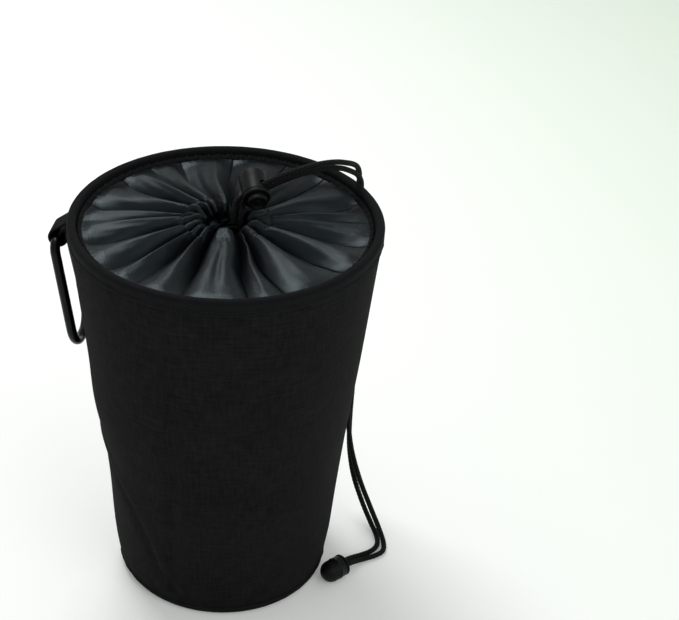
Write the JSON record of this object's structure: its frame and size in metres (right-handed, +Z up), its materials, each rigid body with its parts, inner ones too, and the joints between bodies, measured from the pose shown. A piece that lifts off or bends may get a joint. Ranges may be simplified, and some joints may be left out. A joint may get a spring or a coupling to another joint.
{
  "type": "drawstring peg bag",
  "caption": "Tapered cloth bucket bag for clothes pegs, with a hooped rim, a gathered drawstring closure, a cord lock and a snap hook on a webbing loop.",
  "frame": {"origin": "middle of the underside of the base, on the floor", "axes": "+Z up along the bag's axis, -X towards the hanging strap, +Y to the hook's gate side"},
  "size_m": [0.1936, 0.17, 0.254],
  "materials": {
    "oxford_cloth": "matt plain-weave cloth",
    "taffeta": "slightly shiny thin lining cloth",
    "binding_tape": "matt ribbed tape",
    "webbing": "matt woven webbing",
    "anodised_black": "satin black anodised",
    "bright_metal": "bright drawn metal",
    "spring_steel": "bright spring wire",
    "lock_plastic": "satin moulded plastic",
    "cord_yarn": "matt braided cord",
    "grey_board": "plain pressed board"
  },
  "bodies": {
    "bag": {"outer_shell": "oxford_cloth", "base_panel": "oxford_cloth", "base_board": "grey_board", "rim_binding": "binding_tape", "rim_hoop": "spring_steel", "skirt_band": "taffeta", "strap_tab": "webbing", "drawcord_a_outer": "cord_yarn", "drawcord_b_outer": "cord_yarn", "cord_end_bell": "lock_plastic", "cord_end_collar": "lock_plastic", "cord_end_knot": "cord_yarn"},
    "strap": {"hanging_strap": "webbing"},
    "hook": {"carabiner_body": "anodised_black", "gate_rivet": "bright_metal"},
    "gate": {"carabiner_gate": "anodised_black", "latch_pin": "bright_metal", "gate_spring": "spring_steel"},
    "pleat_01": {"skirt_pleat_01": "taffeta"},
    "pleat_02": {"skirt_pleat_02": "taffeta"},
    "pleat_03": {"skirt_pleat_03": "taffeta", "drawcord_a_inner": "cord_yarn", "drawcord_b_inner": "cord_yarn"},
    "pleat_04": {"skirt_pleat_04": "taffeta"},
    "pleat_05": {"skirt_pleat_05": "taffeta"},
    "pleat_06": {"skirt_pleat_06": "taffeta"},
    "pleat_07": {"skirt_pleat_07": "taffeta"},
    "pleat_08": {"skirt_pleat_08": "taffeta"},
    "pleat_09": {"skirt_pleat_09": "taffeta"},
    "pleat_10": {"skirt_pleat_10": "taffeta"},
    "pleat_11": {"skirt_pleat_11": "taffeta"},
    "pleat_12": {"skirt_pleat_12": "taffeta"},
    "pleat_13": {"skirt_pleat_13": "taffeta"},
    "pleat_14": {"skirt_pleat_14": "taffeta"},
    "pleat_15": {"skirt_pleat_15": "taffeta"},
    "pleat_16": {"skirt_pleat_16": "taffeta"},
    "pleat_17": {"skirt_pleat_17": "taffeta"},
    "pleat_18": {"skirt_pleat_18": "taffeta"},
    "lock": {"lock_barrel": "lock_plastic", "lock_spring": "spring_steel"},
    "plunger": {"lock_plunger": "lock_plastic"}
  },
  "joints": [
    {"name": "strap_lift", "type": "hinge", "parent": "bag", "child": "strap", "pos_m": [-0.0868, 0, 0.2184], "axis": [0, 1, 0], "range_deg": [0, 120]},
    {"name": "hook_swing", "type": "hinge", "parent": "strap", "child": "hook", "pos_m": [-0.09187, 0, 0.20886], "axis": [0, 1, 0], "range_deg": [-3, 90]},
    {"name": "gate_open", "type": "hinge", "parent": "hook", "child": "gate", "pos_m": [-0.09048, 0.01349, 0.19899], "axis": [-0.9903, 0, -0.1392], "range_deg": [0, 27], "stiffness_Nm_per_rad": 0.05, "springref_deg": -5.73},
    {"name": "pleat_01_fold", "type": "hinge", "parent": "bag", "child": "pleat_01", "pos_m": [0.07406, 0, 0.2238], "axis": [0, -1, 0], "range_deg": [0, 82]},
    {"name": "pleat_02_fold", "type": "hinge", "parent": "bag", "child": "pleat_02", "pos_m": [0.06959, 0.02533, 0.2238], "axis": [0.342, -0.9397, 0], "range_deg": [0, 82]},
    {"name": "pleat_03_fold", "type": "hinge", "parent": "bag", "child": "pleat_03", "pos_m": [0.05673, 0.0476, 0.2238], "axis": [0.6428, -0.766, 0], "range_deg": [0, 82]},
    {"name": "pleat_04_fold", "type": "hinge", "parent": "bag", "child": "pleat_04", "pos_m": [0.03703, 0.06414, 0.2238], "axis": [0.866, -0.5, 0], "range_deg": [0, 82]},
    {"name": "pleat_05_fold", "type": "hinge", "parent": "bag", "child": "pleat_05", "pos_m": [0.01286, 0.07293, 0.2238], "axis": [0.9848, -0.1736, 0], "range_deg": [0, 82]},
    {"name": "pleat_06_fold", "type": "hinge", "parent": "bag", "child": "pleat_06", "pos_m": [-0.01286, 0.07293, 0.2238], "axis": [0.9848, 0.1736, 0], "range_deg": [0, 82]},
    {"name": "pleat_07_fold", "type": "hinge", "parent": "bag", "child": "pleat_07", "pos_m": [-0.03703, 0.06414, 0.2238], "axis": [0.866, 0.5, 0], "range_deg": [0, 82]},
    {"name": "pleat_08_fold", "type": "hinge", "parent": "bag", "child": "pleat_08", "pos_m": [-0.05673, 0.0476, 0.2238], "axis": [0.6428, 0.766, 0], "range_deg": [0, 82]},
    {"name": "pleat_09_fold", "type": "hinge", "parent": "bag", "child": "pleat_09", "pos_m": [-0.06959, 0.02533, 0.2238], "axis": [0.342, 0.9397, 0], "range_deg": [0, 82]},
    {"name": "pleat_10_fold", "type": "hinge", "parent": "bag", "child": "pleat_10", "pos_m": [-0.07406, 0, 0.2238], "axis": [0, 1, 0], "range_deg": [0, 82]},
    {"name": "pleat_11_fold", "type": "hinge", "parent": "bag", "child": "pleat_11", "pos_m": [-0.06959, -0.02533, 0.2238], "axis": [-0.342, 0.9397, 0], "range_deg": [0, 82]},
    {"name": "pleat_12_fold", "type": "hinge", "parent": "bag", "child": "pleat_12", "pos_m": [-0.05673, -0.0476, 0.2238], "axis": [-0.6428, 0.766, 0], "range_deg": [0, 82]},
    {"name": "pleat_13_fold", "type": "hinge", "parent": "bag", "child": "pleat_13", "pos_m": [-0.03703, -0.06414, 0.2238], "axis": [-0.866, 0.5, 0], "range_deg": [0, 82]},
    {"name": "pleat_14_fold", "type": "hinge", "parent": "bag", "child": "pleat_14", "pos_m": [-0.01286, -0.07293, 0.2238], "axis": [-0.9848, 0.1736, 0], "range_deg": [0, 82]},
    {"name": "pleat_15_fold", "type": "hinge", "parent": "bag", "child": "pleat_15", "pos_m": [0.01286, -0.07293, 0.2238], "axis": [-0.9848, -0.1736, 0], "range_deg": [0, 82]},
    {"name": "pleat_16_fold", "type": "hinge", "parent": "bag", "child": "pleat_16", "pos_m": [0.03703, -0.06414, 0.2238], "axis": [-0.866, -0.5, 0], "range_deg": [0, 82]},
    {"name": "pleat_17_fold", "type": "hinge", "parent": "bag", "child": "pleat_17", "pos_m": [0.05673, -0.0476, 0.2238], "axis": [-0.6428, -0.766, 0], "range_deg": [0, 82]},
    {"name": "pleat_18_fold", "type": "hinge", "parent": "bag", "child": "pleat_18", "pos_m": [0.06959, -0.02533, 0.2238], "axis": [-0.342, -0.9397, 0], "range_deg": [0, 82]},
    {"name": "lock_travel", "type": "hinge", "parent": "pleat_03", "child": "lock", "pos_m": [0.02668, 0.04298, 0.2182], "axis": [-0.497, 0.6253, 0.6017], "range_deg": [0, 34]},
    {"name": "lock_press", "type": "slide", "parent": "lock", "child": "plunger", "axis": [-0.3086, 0.8993, 0.3098], "range_m": [0, 0.003], "stiffness_N_per_m": 400, "springref_m": -0.003, "deforming": ["lock_spring"]}
  ],
  "couplings": [
    {"joint": "pleat_01_fold", "follows": "pleat_03_fold", "ratio": 1},
    {"joint": "pleat_02_fold", "follows": "pleat_03_fold", "ratio": 1},
    {"joint": "pleat_04_fold", "follows": "pleat_03_fold", "ratio": 1},
    {"joint": "pleat_05_fold", "follows": "pleat_03_fold", "ratio": 1},
    {"joint": "pleat_06_fold", "follows": "pleat_03_fold", "ratio": 1},
    {"joint": "pleat_07_fold", "follows": "pleat_03_fold", "ratio": 1},
    {"joint": "pleat_08_fold", "follows": "pleat_03_fold", "ratio": 1},
    {"joint": "pleat_09_fold", "follows": "pleat_03_fold", "ratio": 1},
    {"joint": "pleat_10_fold", "follows": "pleat_03_fold", "ratio": 1},
    {"joint": "pleat_11_fold", "follows": "pleat_03_fold", "ratio": 1},
    {"joint": "pleat_12_fold", "follows": "pleat_03_fold", "ratio": 1},
    {"joint": "pleat_13_fold", "follows": "pleat_03_fold", "ratio": 1},
    {"joint": "pleat_14_fold", "follows": "pleat_03_fold", "ratio": 1},
    {"joint": "pleat_15_fold", "follows": "pleat_03_fold", "ratio": 1},
    {"joint": "pleat_16_fold", "follows": "pleat_03_fold", "ratio": 1},
    {"joint": "pleat_17_fold", "follows": "pleat_03_fold", "ratio": 1},
    {"joint": "pleat_18_fold", "follows": "pleat_03_fold", "ratio": 1}
  ]
}
